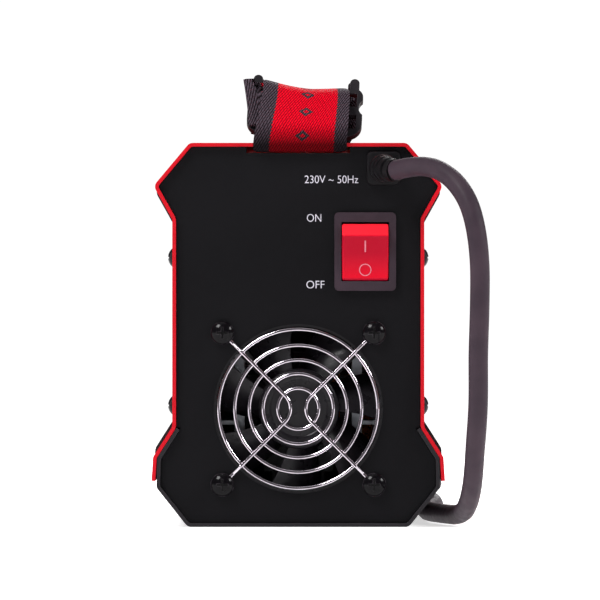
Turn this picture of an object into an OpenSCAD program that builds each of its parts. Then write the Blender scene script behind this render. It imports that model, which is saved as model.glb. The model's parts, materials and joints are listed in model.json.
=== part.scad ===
// Portable stick welding inverter: folded steel case, rear fan and mains switch,
// front weld sockets and current knob, webbing carry strap, mains lead with plug.
// Frame: +Z up, origin on the standing surface under the middle of the case.
// The rear panel (fan, switch, mains lead) faces -Y, the front panel faces +Y.

/* [Case] */
// Length of the hood, rear edge to front edge
case_l = 240; // [200:5:300]
// Height of the hood's flat top above the standing surface
case_h = 155.4; // [150:0.2:165]
// Half width of the hood at its shoulders
shoulder_x = 58.6; // [56:0.2:62]
// Half width of the hood along its flat sides
waist_x = 51; // [50:0.5:53]
// Half width of the hood's flat top
top_x = 44; // [40:0.5:46]
// Height of the shoulder bend
shoulder_z = 138; // [134:0.2:142]
// Height of the upper waist bend
waist_top_z = 124.4; // [120:0.2:128]
// Height of the lower waist bend
waist_low_z = 40.5; // [38:0.5:46]
// Thickness of the painted sheet steel
sheet = 1.5; // [1:0.1:2]
// Distance of the rear and front panels inside the hood's edges
panel_recess = 2; // [1:0.5:4]
// How far the front bezel stands out around the hood
bezel_lip = 2; // [2:0.5:4]

/* [Fan] */
// Side of the square fan frame
fan_size = 70; // [70:1:72]
// Depth of the fan
fan_depth = 25; // [20:1:25]
// Distance between the fan's mounting screws
fan_pitch = 61.5; // [61.5:0.5:62]
// Height of the fan's centre
fan_z = 47.75; // [46:0.25:52]
// Radius of the round opening in the rear panel
fan_hole_r = 34.3; // [33.5:0.1:35]
// Wire diameter of the fan guard
wire_d = 1.5; // [1.2:0.1:1.8]
// Number of fan blades
blades = 7; // [5:1:9]

/* [Mains switch] */
// Centre of the switch, to the right of the middle
switch_x = 27.1; // [24:0.1:30]
// Height of the switch's centre
switch_z = 111.4; // [108:0.1:114]
// Width of the switch's bezel
switch_w = 24.9; // [24:0.1:26]
// Height of the switch's bezel
switch_h = 31.7; // [31:0.1:33]
// Half of the rocker's travel, in degrees
rocker_tilt = 15; // [12:1:16]

/* [Mains lead] */
// Outer diameter of the mains lead
cord_d = 8; // [7:0.5:9]
// Middle radius of the stored coil
coil_r = 45.1; // [42:0.1:48]

/* [Carry strap] */
// Width of the webbing
web_w = 38; // [36:1:40]
// Thickness of the webbing
web_t = 1.8; // [1.4:0.1:2.2]
// Height of the strap's top
strap_z = 177.5; // [176:0.5:184]

/* [Front panel] */
// Distance between the two weld sockets
socket_pitch = 56; // [52:1:60]
// Height of the weld sockets
socket_z = 46; // [42:1:52]
// Diameter of the current knob
knob_d = 26; // [22:1:30]
// Height of the current knob
knob_z = 92; // [88:1:96]

/* [Hidden] */
$fn = 48;

e = 0.01;
gap = 0.2;
rear_y = -case_l / 2;
front_y = case_l / 2;
panel_y = rear_y + panel_recess;
front_face_y = front_y - panel_recess;

// Corner radii of the folds.
bend_r = 3;
// Half width and height where the lower flare meets the hanging tab.
flare = [58.8, 28.3];
// Outer lower end of the tab.
tab_end = [59.4, 18.6];
// Tray: chamfer top and the end of its flat bottom.
tray_side = [57.4, 15.8];
tray_flat_x = 44.8;

function unit(v) = v / norm(v);
function left(v) = [-v[1], v[0]];
function turn(a, b, c) = sign((b - a)[0] * (c - b)[1] - (b - a)[1] * (c - b)[0]);
function mirrored(path) = [for (i = [len(path) - 1:-1:0]) [-path[i][0], path[i][1]]];

// Path moved sideways by d: to its left for a positive d.
function shifted(p, d) = [for (i = [0:len(p) - 1])
  let (a = left(unit(p[min(i + 1, len(p) - 1)] - p[min(i, len(p) - 2)])),
       b = left(unit(p[max(i, 1)] - p[max(i - 1, 0)])))
  p[i] + d * (a + b) / (1 + a * b)];

// Arc of radius r that rounds the corner b between a and c.
function corner(a, b, c, r, n = 6) =
  let (u = unit(a - b), v = unit(c - b), half = acos(u * v) / 2,
       m = b + unit(u + v) * r / sin(half), s = b + u * r / tan(half) - m,
       t = b + v * r / tan(half) - m, a0 = atan2(s[1], s[0]),
       sweep = (atan2(t[1], t[0]) - a0 + 540) % 360 - 180)
  [for (k = [0:n]) m + r * [cos(a0 + sweep * k / n), sin(a0 + sweep * k / n)]];

// Open path with every inner corner rounded; d is how far the path was moved to its left.
function rounded(p, r, d = 0) = [for (i = [0:len(p) - 1])
  each (i == 0 || i == len(p) - 1) ? [p[i]]
     : corner(p[i - 1], p[i], p[i + 1], max(r - turn(p[i - 1], p[i], p[i + 1]) * d, 0.4))];

// Folded sheet of thickness t lying to the left of the path.
function folded(p, r, t) = concat(rounded(p, r), reverse(rounded(shifted(p, t), r, t)));
function reverse(p) = [for (i = [len(p) - 1:-1:0]) p[i]];

module along_y(y0, y1) translate([0, y1, 0]) rotate([90, 0, 0]) linear_extrude(y1 - y0) children();
module along_x(x0, x1) translate([x0, 0, 0]) rotate([90, 0, 90]) linear_extrude(x1 - x0) children();
module rod_y(r, y0, y1, x = 0, z = 0) translate([x, y1, z]) rotate([90, 0, 0]) cylinder(r = r, h = y1 - y0);
module rod_x(r, x0, x1, y = 0, z = 0) translate([x0, y, z]) rotate([0, 90, 0]) cylinder(r = r, h = x1 - x0);
module box(x0, x1, y0, y1, z0, z1) translate([x0, y0, z0]) cube([x1 - x0, y1 - y0, z1 - z0]);
module both_sides() { children(); mirror([1, 0, 0]) children(); }
module both_ends() { children(); mirror([0, 1, 0]) children(); }

// Rectangle w by h with round corners, centred.
module soft_rect(w, h, r) {
  square([w - 2 * r, h], center = true);
  square([w, h - 2 * r], center = true);
  for (x = [-1, 1], y = [-1, 1]) translate([x * (w / 2 - r), y * (h / 2 - r)]) circle(r);
}

// Low domed head of radius r and height h, standing on z = 0 and pointing to +Z, with a cross slot.
module dome_head(r, h) {
  ball = (r * r + h * h) / (2 * h);
  slot = 0.36 * r;
  difference() {
    intersection() {
      translate([0, 0, h - ball]) sphere(ball);
      cylinder(r = r, h = h);
    }
    for (a = [0, 90]) rotate(a) translate([0, 0, h]) cube([r, slot / 2, h], center = true);
  }
}

// Right half of the hood's outer outline, from the tab's end up to the flat top.
hood_side = [tab_end, flare, [waist_x, waist_low_z], [waist_x, waist_top_z],
  [shoulder_x, shoulder_z], [top_x, case_h]];
hood_path = concat(hood_side, mirrored(hood_side));
// The tray's outline down the left side, along the bottom and up the right side.
tray_gap = sheet + gap;
tray_top = shifted(hood_side, tray_gap)[2];
tray_flare = shifted(hood_side, tray_gap)[1];
tray_side_path = [[tray_flat_x, 0], tray_side, tray_flare, tray_top];
tray_path = concat(mirrored(tray_side_path), tray_side_path);
// The panels fill the tray and the hood.
panel_low = shifted(tray_path, tray_gap);
panel_step_z = tray_top[1] + gap;
panel_bend = 0.7;
panel_slope = (panel_low[7] - panel_low[6]) / (panel_low[7][1] - panel_low[6][1]);
panel_step = panel_low[6] + panel_slope * (panel_step_z - panel_low[6][1]);
panel_side = concat([for (i = [4:6]) panel_low[i]], [panel_step], [[tray_top[0], panel_step_z]],
  [for (i = [3:5]) shifted(hood_path, tray_gap)[i]]);
panel_loop = concat([[0, tray_gap]], panel_side, mirrored(panel_side), [[0, tray_gap]]);

side_screw_y = case_l / 2 - 18;
side_screw_z = [49, 109];
side_hole_r = 1.7;
slot_x = 21;
slot_y = [case_l / 2 - 12, case_l / 2 - 6];

module hood() color("#d81e2c") difference() {
  along_y(rear_y, front_y) polygon(folded(hood_path, bend_r, sheet));
  // Slots that the carry strap passes through, one at each end of the top.
  both_ends() box(-slot_x, slot_x, slot_y[0], slot_y[1], case_h - 2 * sheet, case_h + 1);
  for (z = side_screw_z) both_ends() rod_x(2.1, -shoulder_x - 1, shoulder_x + 1, side_screw_y, z);
  // Air outlet slots in both sides, towards the front.
  for (i = [0:9], z = [62, 100]) {
    y = 20 + i * 8;
    box(-waist_x - 1, waist_x + 1, y - 1.6, y + 1.6, z - 14, z + 14);
    for (s = [-1, 1]) rod_x(1.6, -waist_x - 1, waist_x + 1, y, z + s * 14);
  }
}

ear_y = [side_screw_y - 6, side_screw_y + 6];
module base_tray() color("#26262a") difference() {
  union() {
    along_y(rear_y, front_y) polygon(folded(tray_path, bend_r, sheet));
    // Ears that the lower side screws are driven into.
    both_sides() both_ends()
      box(tray_top[0] - sheet, tray_top[0], ear_y[0], ear_y[1], tray_top[1] - 1, 58);
  }
  both_ends() rod_x(side_hole_r, -shoulder_x, shoulder_x, side_screw_y, side_screw_z[0]);
  for (p = standoffs) translate([p[0], p[1], -1]) cylinder(r = 1.7, h = 4);
}

// Upper side screws are driven into flanges folded forward from the panels.
flange_l = 22;
module panel_sheet() {
  along_y(panel_y, panel_y + sheet) polygon(rounded(panel_loop, panel_bend));
  both_sides() difference() {
    box(tray_top[0] - sheet, tray_top[0], panel_y + e, panel_y + flange_l, 94, 120);
    rod_x(side_hole_r, 0, shoulder_x, -side_screw_y, side_screw_z[1]);
  }
}

fan_screw_at = [for (x = [-1, 1], z = [-1, 1]) [x * fan_pitch / 2, fan_z + z * fan_pitch / 2]];
relief_x = 34.5;
relief_z = 145.1;
switch_body_w = 22;
switch_body_h = 28.4;
strap_x = 1.5;

module rear_panel() color("#1b1b1e") difference() {
  panel_sheet();
  rod_y(fan_hole_r, panel_y - 1, panel_y + 3, 0, fan_z);
  for (p = fan_screw_at) rod_y(2.2, panel_y - 1, panel_y + 3, p[0], p[1]);
  box(switch_x - switch_body_w / 2 - gap, switch_x + switch_body_w / 2 + gap, panel_y - 1, panel_y + 3,
      switch_z - switch_body_h / 2 - gap, switch_z + switch_body_h / 2 + gap);
  rod_y(5.6, panel_y - 1, panel_y + 3, relief_x, relief_z);
  // Notch where the strap runs under the hood's edge.
  box(-slot_x, slot_x, panel_y - 1, panel_y + 3, case_h - sheet - 2.6, case_h);
}

front_screw_at = [for (x = [-1, 1], z = [22, 128]) [x * 44, z]];
module front_panel() color("#1b1b1e") difference() {
  mirror([0, 1, 0]) panel_sheet();
  for (x = [-1, 1]) rod_y(9.2, front_face_y - 3, front_face_y + 1, x * socket_pitch / 2, socket_z);
  rod_y(3.8, front_face_y - 3, front_face_y + 1, 0, knob_z);
  for (x = lights_x) rod_y(2.1, front_face_y - 3, front_face_y + 1, x, lights_z);
  box(-display_w / 2, display_w / 2, front_face_y - 3, front_face_y + 1,
      display_z - display_h / 2, display_z + display_h / 2);
  for (p = front_screw_at) rod_y(1.7, front_face_y - 3, front_face_y + 1, p[0], p[1]);
  box(-slot_x, slot_x, front_face_y - 3, front_face_y + 1, case_h - sheet - 2.6, case_h);
}

// Moulded surround that hides the hood's front edge. It stops flush with the tray's underside.
bezel_back = 12;
bezel_front = 6;
bezel_cover = 7;
tray_edge = [[tray_flat_x, 0], tray_side];
function closed(side) = concat([[0, 0]], side, mirrored(side), [[0, 0]]);
outer_path = closed(concat(tray_edge, hood_side));
// The bezel's opening passes inside the tabs.
opening_path = closed(concat(tray_edge, [for (i = [1:5]) hood_side[i]]));
module bezel_outline(grow) intersection() {
  polygon(rounded(shifted(outer_path, -grow), 4));
  translate([-100, 0]) square([200, 300]);
}
module bezel_part(x0 = 0) {
  difference() {
    along_y(front_y - bezel_back, front_y + bezel_front) bezel_outline(bezel_lip);
    along_y(front_y - bezel_back - 1, front_y + gap) polygon(rounded(shifted(outer_path, -gap), bend_r));
    along_y(front_y - 1, front_y + bezel_front + 1) polygon(rounded(shifted(opening_path, bezel_cover), 4));
    // Recess for the strap's front loop.
    box(-slot_x, slot_x, front_y - bezel_back - 1, front_y + bezel_front + 1, case_h - 6, case_h + 20);
    // The tray and hood already close the underside here.
    box(-60, 60, front_y - bezel_back - 1, front_y + gap, -1, gap);
  }
}
module front_bezel() color("#2b2b30") bezel_part();

module case_screws() color("#222226") both_sides() both_ends() for (z = side_screw_z)
  translate([waist_x + 0.05, side_screw_y, z]) rotate([0, 90, 0]) {
    dome_head(3.9, 1.9);
    translate([0, 0, -7]) cylinder(r = 1.65, h = 7 + e);
  }

// Finger guard: five rings behind two bow-shaped wires that end in eyelets under the screws.
ring_r = [32.2, 25.7, 19.8, 14.2, 8.3];
guard_rise = 2;
bow_r = 7.5;
eyelet_r = 2.9;
guard_y = panel_y - wire_d / 2 - gap / 4;
screw_reach = fan_pitch / sqrt(2);
joint_swell = 0.06;
// Straight wire from a to b, with the bead of the bend at b.
module wire(a, b) {
  v = b - a;
  translate(a) rotate([0, acos(v[2] / norm(v)), atan2(v[1], v[0])]) cylinder(d = wire_d, h = norm(v));
  translate(b) sphere(d = wire_d + joint_swell);
}
module bow_arm(up) {
  d = [1, 0, up] / sqrt(2);
  lift = [0, -guard_rise, 0];
  wire(bow_r * d + lift, 33 * d + lift);
  wire(33 * d + lift, 37 * d);
  wire(37 * d, (screw_reach - eyelet_r) * d);
}
module bow() {
  for (up = [-1, 1]) {
    bow_arm(up);
    translate([fan_pitch / 2, 0, up * fan_pitch / 2]) rotate([90, 0, 0])
      rotate_extrude() translate([eyelet_r, 0]) circle(d = wire_d);
  }
  translate([bow_r * sqrt(2), -guard_rise, 0]) rotate([90, 0, 0]) rotate([0, 0, 135])
    rotate_extrude(angle = 90) translate([bow_r, 0]) circle(d = wire_d);
}
weld_sink = 0.35;
module fan_guard() color("#d9dadd") translate([0, guard_y, fan_z]) {
  translate([0, wire_d - weld_sink - guard_rise, 0]) rotate([90, 0, 0]) for (r = ring_r)
    rotate_extrude() translate([r, 0]) circle(d = wire_d);
  both_sides() bow();
}

fan_y0 = panel_y + sheet + gap;
fan_y1 = fan_y0 + fan_depth;
module fan_screws() color("#202024") for (p = fan_screw_at)
  translate([p[0], panel_y - wire_d - gap / 2, p[1]]) rotate([90, 0, 0]) {
    dome_head(4.8, 2.4);
    translate([0, 0, -fan_depth - 10]) cylinder(r = 1.95, h = fan_depth + 10 + e);
  }
module fan_nuts() color("#b9bcc2") for (p = fan_screw_at)
  translate([p[0], fan_y1 + gap + 3.2, p[1]]) rotate([90, 0, 0]) difference() {
    cylinder(r = 4, h = 3.2, $fn = 6);
    translate([0, 0, -1]) cylinder(r = 2, h = 6);
  }

rotor_hub_r = 16.25;
fan_bore_r = 33.3;
module fan_frame() color("#1c1c1f") difference() {
  union() {
    difference() {
      translate([0, 0, fan_z]) along_y(fan_y0, fan_y1) soft_rect(fan_size, fan_size, 4);
      rod_y(fan_bore_r, fan_y0 - 1, fan_y1 + 1, 0, fan_z);
      // Waist between the two flanges.
      translate([0, 0, fan_z]) along_y(fan_y0 + 4, fan_y1 - 4) difference() {
        soft_rect(fan_size + 20, fan_size + 20, 4);
        circle(fan_bore_r + 1.4);
        for (x = [-1, 1], z = [-1, 1])
          translate([x, z] * fan_pitch / 2) circle(4);
      }
    }
    rod_y(15, fan_y1 - 4, fan_y1 - 1.5, 0, fan_z);
    rod_y(4.5, fan_y0 + 8, fan_y1 - 2, 0, fan_z);
    for (a = [45:90:315]) translate([0, 0, fan_z]) rotate([0, a, 0])
      box(14, fan_bore_r + 1, fan_y1 - 4, fan_y1 - 1.5, -1.8, 1.8);
  }
  for (p = fan_screw_at) rod_y(2.15, fan_y0 - 1, fan_y1 + 1, p[0], p[1]);
  rod_y(2.6, fan_y0 + 7, fan_y1 - 3, 0, fan_z);
}
module fan_bearing() color("#b08d57") difference() {
  rod_y(2.55, fan_y0 + 8, fan_y1 - 3.5, 0, fan_z);
  rod_y(1.6, fan_y0 + 7, fan_y1 - 3, 0, fan_z);
}
module fan_shaft() color("#c8ccd2") rod_y(1.55, fan_y0 + 1.9, fan_y1 - 4.5, 0, fan_z);

// Blade: a flat plate pitched about its radius and trimmed to the hub and the bore.
blade_pitch = 38;
rotor_y = [fan_y0 + 0.8, fan_y1 - 5];
module fan_rotor() color("#17171a") {
  difference() {
    rod_y(rotor_hub_r, rotor_y[0], rotor_y[1] - 1, 0, fan_z);
    rod_y(rotor_hub_r - 1.8, rotor_y[0] + 2, rotor_y[1] + 1, 0, fan_z);
    rod_y(1.6, rotor_y[0] + 1, rotor_y[0] + 3, 0, fan_z);
  }
  for (i = [0:blades - 1]) intersection() {
    translate([0, (rotor_y[0] + rotor_y[1]) / 2, fan_z]) rotate([0, i * 360 / blades, 0])
      rotate([blade_pitch, 0, 0]) box(rotor_hub_r - 1, fan_bore_r, -13, 13, -0.8, 0.8);
    difference() {
      rod_y(fan_bore_r - 0.8, rotor_y[0], rotor_y[1], 0, fan_z);
      rod_y(rotor_hub_r - 0.4, rotor_y[0] - 1, rotor_y[1] + 1, 0, fan_z);
    }
  }
}

// Rocker switch. The pivot lies behind the bezel's face.
bezel_t = 2;
pivot_depth = 6.42;
switch_face_y = panel_y - bezel_t;
pivot_y = switch_face_y + pivot_depth;
rocker_w = 18.8;
rocker_edge = [9.37, 9.47];
rocker_foot = [12.43, 3.31];
rocker_sag = 1.5;
trunnion_r = 1.5;
module switch_housing() color("#3a383d") difference() {
  union() {
    translate([switch_x, 0, switch_z]) along_y(switch_face_y, panel_y - 0.05)
      soft_rect(switch_w, switch_h, 1.8);
    box(switch_x - switch_body_w / 2, switch_x + switch_body_w / 2, panel_y - 0.06, panel_y + 18,
        switch_z - switch_body_h / 2, switch_z + switch_body_h / 2);
  }
  // Window and the wider well behind it.
  translate([switch_x, 0, switch_z]) along_y(switch_face_y - 1, panel_y + 8) soft_rect(19.4, 24, 0.4);
  box(switch_x - 9.65, switch_x + 9.65, switch_face_y + 1, panel_y + 15, switch_z - 13.1, switch_z + 13.1);
  rod_x(trunnion_r + 0.06, switch_x - 11.5, switch_x + 11.5, pivot_y, switch_z);
}
module switch_rocker() color("#e0202e") translate([switch_x, pivot_y, switch_z]) {
  sag_r = (rocker_edge[0] * rocker_edge[0] + rocker_sag * rocker_sag) / (2 * rocker_sag);
  rotate([rocker_tilt, 0, 0]) difference() {
    along_x(-rocker_w / 2, rocker_w / 2) polygon([for (s = [-1, 1]) each
      s < 0 ? [[-rocker_edge[1], -rocker_edge[0]], [-rocker_foot[1], -rocker_foot[0]], [2, -11.2], [5, -4]]
            : [[5, 4], [2, 11.2], [-rocker_foot[1], rocker_foot[0]], [-rocker_edge[1], rocker_edge[0]]]]);
    rod_x(sag_r, -10, 10, -rocker_edge[1] + rocker_sag - sag_r, 0);
  }
  rod_x(trunnion_r, -rocker_w / 2 - 1.3, rocker_w / 2 + 1.3);
}
module switch_terminals() color("#c9ccd1") for (x = [-5, 5], z = [-9, 9])
  box(switch_x + x - 3.15, switch_x + x + 3.15, panel_y + 18.05, panel_y + 27,
      switch_z + z - 0.4, switch_z + z + 0.4);

// Strain relief: square flange on the panel, then a ribbed boot that turns towards +X.
boot_start = 6;
boot_r = 20;
boot_turn = 40;
boot_y = panel_y - boot_start;
function boot_at(a) = [relief_x + boot_r * (1 - cos(a)), boot_y - boot_r * sin(a), relief_z - a / boot_turn];
module boot_slice(a0, a1, r0, r1) translate(boot_at(a0)) rotate([0, 0, a0])
  rotate([90, 0, 0]) cylinder(r1 = r0, r2 = r1, h = boot_r * sin(a1 - a0) + 0.4);
module strain_relief() color("#2e2c31") difference() {
  union() {
    translate([relief_x, 0, relief_z]) along_y(panel_y - 3, panel_y - 0.05) soft_rect(13.8, 13.8, 2);
    rod_y(5.5, panel_y - 0.06, panel_y + 8, relief_x, relief_z);
    rod_y(6.4, boot_y - e, panel_y - 2.9, relief_x, relief_z);
    for (i = [0:3]) {
      a = i * 10;
      boot_slice(a, a + 10, 5.5 - 0.25 * i, 5.3 - 0.25 * i);
      if (i < 3) boot_slice(a + 4.5, a + 8, 6.3 - 0.3 * i, 6.3 - 0.3 * i);
    }
  }
  rod_y(3.6, boot_y + 2, panel_y + 9, relief_x, relief_z);
}

// Mains lead: route of the free stretch, from the boot to the coil.
lead_route = [
  [39.2, -137.9, 144.1], [45, -144.9, 145.2], [51, -152, 145.4], [57, -159.2, 143.6], [63, -166.2, 138.8],
  [68, -171.8, 130.8], [71, -175.6, 120], [72.5, -177.5, 106], [72.5, -177.5, 89], [72, -175.5, 70],
  [72, -169.5, 50], [71, -158.5, 32], [70, -143, 17], [68, -124, 8], [65, -102, 4.8], [61, -78, 4.4],
  [57, -50, 4.4], [54, -20, 4.4], [53.5, 20, 4.4], [54.5, 60, 4.4], [57, 100, 4.4], [58, 135, 4.4],
  [58, 170, 4.5], [58, 196, 4.6]
];
// End stretch, from the coil to the plug.
tail_route = [
  [58, 196, 12.6], [58, 212, 12.6], [57.5, 228, 13], [54.5, 243, 14.2], [47.5, 256, 15.6],
  [37, 265.5, 17], [25, 270, 18.1], [14, 270.5, 18.5]
];
coil_at = [4.9, 196];
coil_lift = 0.6;

// Smooth curve through the points p, by Catmull-Rom, n steps a span.
function past(p, i) = i < 0 ? 2 * p[0] - p[1] : i >= len(p) ? 2 * p[len(p) - 1] - p[len(p) - 2] : p[i];
function blend4(a, b, c, d, t) = 0.5 * (2 * b + (c - a) * t + (2 * a - 5 * b + 4 * c - d) * t * t
  + (3 * b - a - 3 * c + d) * t * t * t);
function smooth(p, n) = concat([for (i = [0:len(p) - 2], k = [0:n - 1])
  blend4(past(p, i - 1), p[i], p[i + 1], past(p, i + 2), k / n)], [p[len(p) - 1]]);

// Closed round tube of diameter d along the points p.
module tube(p, d, sides = 10) {
  last = len(p) - 1;
  dirs = [for (i = [0:last]) unit(p[min(i + 1, last)] - p[max(i - 1, 0)])];
  rings = [for (i = [0:last]) let (w = unit(cross(dirs[i], [0.3, 0.2, 1])), v = cross(dirs[i], w))
    for (k = [0:sides - 1]) p[i] + d / 2 * (cos(360 * k / sides) * w + sin(360 * k / sides) * v)];
  polyhedron(rings, concat([[for (k = [0:sides - 1]) k]],
    [for (i = [0:last - 1], k = [0:sides - 1]) let (n = (k + 1) % sides, b = i * sides)
      [b + n, b + k, b + sides + k, b + sides + n]],
    [[for (k = [sides - 1:-1:0]) last * sides + k]]));
}
module power_cord() color("#3b3840") tube(smooth(lead_route, 2), cord_d);
module plug_lead() color("#3b3840") tube(smooth(tail_route, 2), cord_d);
coil_in = coil_r - 15.5;
coil_out = coil_r + 12.2;
coil_top = coil_lift + 2 * cord_d + 0.2;
module cord_coil() color("#3b3840") translate(coil_at) rotate_extrude()
  polygon([[coil_in, 2], [coil_in + 2, 0.2], [coil_out - 2, 0.2], [coil_out, 2],
    [coil_out, coil_top - 2], [coil_out - 2, coil_top], [coil_in + 2, coil_top], [coil_in, coil_top - 2]]);
tie_w = 14;
module cord_tie() color("#141416")
translate([coil_at[0] - coil_r + 1.6, coil_at[1], coil_top / 2]) difference() {
  cube([30, tie_w, coil_top + 0.4], center = true);
  cube([28, tie_w + 1, coil_top - 1.2], center = true);
}

// Straight two-pin plug, lying on the standing surface with its pins towards -X.
plug_r = 18.5;
plug_at = [14, 270.5, plug_r];
pin_r = 2.4;
pin_l = 19;
pin_pitch = 19;
plug_face_x = plug_at[0] - 54;
module plug_body() color("#232226") translate(plug_at) rotate([0, -90, 0]) difference() {
  union() {
    cylinder(r1 = 5, r2 = 6.5, h = 16);
    for (z = [3, 7, 11]) translate([0, 0, z]) cylinder(r = 6.3 + z / 24, h = 2);
    translate([0, 0, 15]) cylinder(r1 = 9, r2 = 15, h = 16);
    translate([0, 0, 31 - e]) cylinder(r = plug_r, h = 23 + e);
  }
  // Side notches and the earth contact's hole.
  for (s = [-1, 1]) translate([0, s * plug_r, 46]) cube([6, 4, 30], center = true);
  translate([10, 0, 44]) cylinder(r = 2.5, h = 12);
}
module plug_pins() color("#c4c7cc") for (s = [-1, 1])
  translate([plug_face_x, plug_at[1] + s * pin_pitch / 2, plug_at[2]]) rotate([0, -90, 0]) {
    translate([0, 0, 0.02]) cylinder(r = pin_r, h = pin_l - 1.5);
    translate([0, 0, pin_l - 1.5]) cylinder(r1 = pin_r, r2 = pin_r - 1.2, h = 1.5);
  }

// Carry strap: it loops round the hood's edge through each slot and arches over the top.
loop_y = case_l / 2 + web_t + 0.5;
loop_z = case_h - sheet - web_t - 0.5;
// Outer line of the webbing at one end: its free end hangs over the slider's bar, the rest goes
// down through the slot, round the hood's edge and up over the free end to the arch.
strap_half = [
  [rear_y + 2.2, case_h + 7.7], [rear_y + 9.3, case_h + 20.6], [rear_y + 16.5, case_h + 16.6],
  [rear_y + 11, case_h + 6.8], [rear_y + 11, loop_z], [-loop_y, loop_z], [-loop_y, case_h + 4.3],
  [rear_y + 7.6, strap_z - 0.3], [rear_y + 22, strap_z], [rear_y + 70, strap_z + 2]
];
strap_path = concat(strap_half, mirrored(strap_half));
module strap_webbing() color("#b3202a") difference() {
  along_x(strap_x - web_w / 2, strap_x + web_w / 2) polygon(folded(strap_path, 3, -web_t));
  both_ends() box(slider_x - horn_x - 5, slider_x - horn_x + 3.4, rear_y + 10, rear_y + 21,
                  case_h + 19, case_h + 34.6);
}

// Slider that the strap's end is doubled over: rails with two lobes each, two bars and two horns.
slider_x = strap_x + 0.6;
slider_t = 3.6;
slider_w = 46.6;
slider_h = 22.6;
slider_gap = 41.6;
slider_lean = 61;
slider_base = case_h + 2.6;
waist_h = 13.8;
bar_h = 3.8;
horn_x = 19.6;
horn_r = 1.9;
module slider_outline(bar_top) {
  difference() {
    union() {
      translate([0, waist_h / 2]) soft_rect(slider_w, waist_h, 6);
      translate([0, (slider_h + bar_h) / 2]) soft_rect(slider_w, slider_h - bar_h, 4);
    }
    for (s = [-1, 1]) translate([s * (slider_w / 2 + 2.6), waist_h]) circle(4.2);
    translate([-slider_gap / 2, bar_h]) square([slider_gap, bar_top - 2 * bar_h]);
    translate([-slider_gap / 2, bar_top]) square([slider_gap, slider_h]);
  }
  for (s = [-1, 1]) translate([s * horn_x, slider_h]) {
    square([2 * horn_r, 5], center = true);
    translate([0, 2.5]) circle(horn_r);
  }
}
// The slider leans inwards from its lower edge at height z, turned by roll in its own plane.
module slider(z, roll, bar_top)
  translate([slider_x, rear_y + 4 + (z - slider_base) / tan(slider_lean), z]) rotate([slider_lean, 0, 0])
    linear_extrude(slider_t, center = true) rotate(roll) slider_outline(bar_top);
module strap_buckle_rear() color("#3f3d44") slider(slider_base, -3, 14);
module strap_buckle_front() color("#3f3d44") mirror([0, 1, 0]) slider(slider_base + 2.8, -3, 11.4);

// Front controls.
knob_y = front_face_y + 1;
display_w = 34;
display_h = 16;
display_z = 122;
lights_x = [-32, 32];
lights_z = 108;
module current_knob() color("#2a2a2e") difference() {
  union() {
    rod_y(knob_d / 2, knob_y, knob_y + 3, 0, knob_z);
    rod_y(knob_d / 2 - 2, knob_y + 2.9, knob_y + 15, 0, knob_z);
    for (i = [0:17]) translate([0, 0, knob_z]) rotate([0, i * 20, 0])
      rod_y(0.8, knob_y + 3 - e, knob_y + 14, knob_d / 2 - 2.1, 0);
  }
  rod_y(pot_shaft_r + 0.02, knob_y - 1, knob_y + 12, 0, knob_z);
  rod_y(8.2, knob_y + 13.8, knob_y + 16, 0, knob_z);
  box(-0.7, 0.7, knob_y + 13, knob_y + 16, knob_z + 8, knob_z + 12.5);
}
module knob_insert() color("#d81e2c") rod_y(8.1, knob_y + 13.85, knob_y + 15.2, 0, knob_z);
pot_shaft_r = 3;
module pot_shaft() color("#c5c8cd") rod_y(pot_shaft_r, front_face_y - sheet - 7.8, knob_y + 11.9, 0, knob_z);
module potentiometer() color("#8f9298") {
  difference() {
    union() {
      rod_y(8.5, front_face_y - sheet - 12, front_face_y - sheet - 4, 0, knob_z);
      rod_y(3.7, front_face_y - sheet - 4 - e, front_face_y + 0.6, 0, knob_z);
    }
    rod_y(pot_shaft_r + 0.05, front_face_y - sheet - 8, front_face_y + 2, 0, knob_z);
  }
}

shell_r = 13;
module at_sockets() for (s = [-1, 1]) translate([s * socket_pitch / 2, front_face_y, socket_z]) children();
module socket_shells() color("#1d1d20") at_sockets() difference() {
  union() {
    rod_y(shell_r, 0.05, 9);
    rod_y(9, -10, 0.06);
    for (a = [0:45:315]) rotate([0, a, 0]) rod_y(1.5, 0.06, 7.5, shell_r - 0.4, 0);
  }
  rod_y(7.1, -11, 12);
}
module socket_inserts() color("#b5893f") at_sockets() difference() {
  union() { rod_y(7, -14, 6.5); rod_y(4, -24, -13.9); }
  rod_y(4.6, -12, 8);
  box(-1.2, 1.2, -4, 8, 4, 5.8);
}
module socket_nuts() color("#c5c8cd") at_sockets() difference() {
  translate([0, -sheet - 0.1, 0]) rotate([90, 0, 0]) cylinder(r = 13.5, h = 4, $fn = 6);
  rod_y(9.05, -8, 1);
}
module light(x) {
  rod_y(2, front_face_y - 6, front_face_y + 0.4, x, lights_z);
  translate([x, front_face_y + 0.4, lights_z]) intersection() {
    sphere(2);
    box(-3, 3, 0, 3, -3, 3);
  }
}
module power_light() color("#37c04a") light(lights_x[0]);
module overheat_light() color("#f0b020") light(lights_x[1]);
module display_window() color("#30141a") translate([0, 0, display_z]) difference() {
  union() {
    along_y(front_face_y + 0.05, front_face_y + 1.2) soft_rect(display_w + 6, display_h + 6, 2);
    along_y(front_face_y - sheet, front_face_y + 0.06)
      soft_rect(display_w - gap * 2, display_h - gap * 2, 0.6);
  }
}
module display_module() color("#3a0d10") translate([0, 0, display_z])
  along_y(front_face_y - sheet - 8, front_face_y - sheet - 0.3)
    square([display_w - 2, display_h - 2], center = true);
module control_board() color("#1c6b3a") difference() {
  box(-40, 40, front_face_y - sheet - 14.2, front_face_y - sheet - 12.6, 84, 140);
  for (x = [-36, 36], z = [88, 136]) rod_y(1.6, front_y - 30, front_y, x, z);
}
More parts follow.
